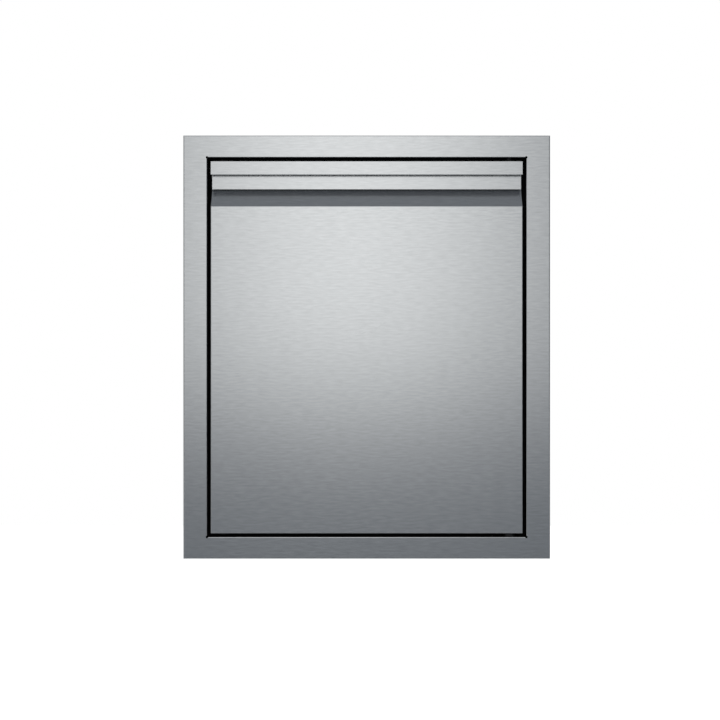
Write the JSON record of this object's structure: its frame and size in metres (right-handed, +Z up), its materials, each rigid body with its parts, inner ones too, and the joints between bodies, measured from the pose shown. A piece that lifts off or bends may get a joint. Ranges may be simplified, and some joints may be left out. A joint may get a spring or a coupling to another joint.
{
  "type": "single access door",
  "caption": "Flush built-in access door in a flanged brushed steel frame, with a full-width pull lip over a finger recess, pin hinges, magnetic catches and a release pin.",
  "frame": {"origin": "middle of the plane where the back of the face frame's flange meets the wall", "axes": "+X to the right seen from the front, +Y into the wall, +Z up"},
  "size_m": [0.4574, 0.07, 0.5276],
  "materials": {
    "brushed_face_steel": "horizontal brushed stainless sheet",
    "inner_sheet_steel": "mill finish stainless sheet",
    "black_coat": "fine matt black powder coat",
    "rivet_steel": "plain stainless rivets",
    "screw_steel": "stainless screws",
    "black_oxide": "black oxide steel",
    "zinc_plate": "zinc plated steel",
    "spring_steel": "drawn spring wire",
    "black_acetal": "moulded black acetal",
    "black_anodise": "black anodised aluminium",
    "block_aluminium": "milled and bead blasted",
    "catch_plastic": "moulded dark grey nylon",
    "nickel_magnet": "nickel plate",
    "rubber": "black rubber"
  },
  "bodies": {
    "frame": {"face_frame": "brushed_face_steel", "left_jamb": "inner_sheet_steel", "right_jamb": "inner_sheet_steel", "head_liner": "inner_sheet_steel", "sill_liner": "inner_sheet_steel", "left_stop": "black_coat", "right_stop": "black_coat", "top_stop": "black_coat", "bottom_stop": "black_coat", "upper_hinge_bracket": "black_coat", "lower_hinge_bracket": "black_coat", "corner_rivets": "rivet_steel", "stop_rivets": "rivet_steel", "catch_screws": "screw_steel", "upper_hinge_pin": "black_oxide", "hinge_bracket_screws": "black_oxide", "catch_pole_plates": "zinc_plate", "lower_bracket_bush": "black_acetal", "thrust_washer": "black_acetal", "upper_catch_housing": "catch_plastic", "lower_catch_housing": "catch_plastic", "upper_catch_magnet": "nickel_magnet", "lower_catch_magnet": "nickel_magnet", "upper_door_bumper": "rubber", "lower_door_bumper": "rubber"},
    "door": {"door_skin": "brushed_face_steel", "handle_lip": "brushed_face_steel", "door_liner": "inner_sheet_steel", "liner_screws": "screw_steel", "left_stiffener": "inner_sheet_steel", "right_stiffener": "inner_sheet_steel", "left_pivot_block": "black_anodise", "right_pivot_block": "black_anodise", "pivot_block_screws": "black_oxide", "upper_door_bush": "black_acetal", "lower_door_bush": "black_acetal", "upper_hole_plug": "black_acetal", "lower_hole_plug": "black_acetal", "pin_housing": "block_aluminium", "housing_plug": "zinc_plate", "pin_spring": "spring_steel", "housing_screws": "black_oxide", "upper_strike_plate": "zinc_plate", "lower_strike_plate": "zinc_plate", "strike_rivets": "rivet_steel"},
    "release_pin": {"lower_hinge_pin": "zinc_plate", "release_knob": "black_acetal"}
  },
  "joints": [
    {"name": "door_swing", "type": "hinge", "parent": "frame", "child": "door", "pos_m": [0.1782, 0.0025, 0], "axis": [0, 0, 1], "range_deg": [0, 110]},
    {"name": "pin_release", "type": "slide", "parent": "door", "child": "release_pin", "axis": [0, 0, 1], "range_m": [0, 0.008], "stiffness_N_per_m": 900, "springref_m": -0.006, "deforming": ["pin_spring"]}
  ]
}
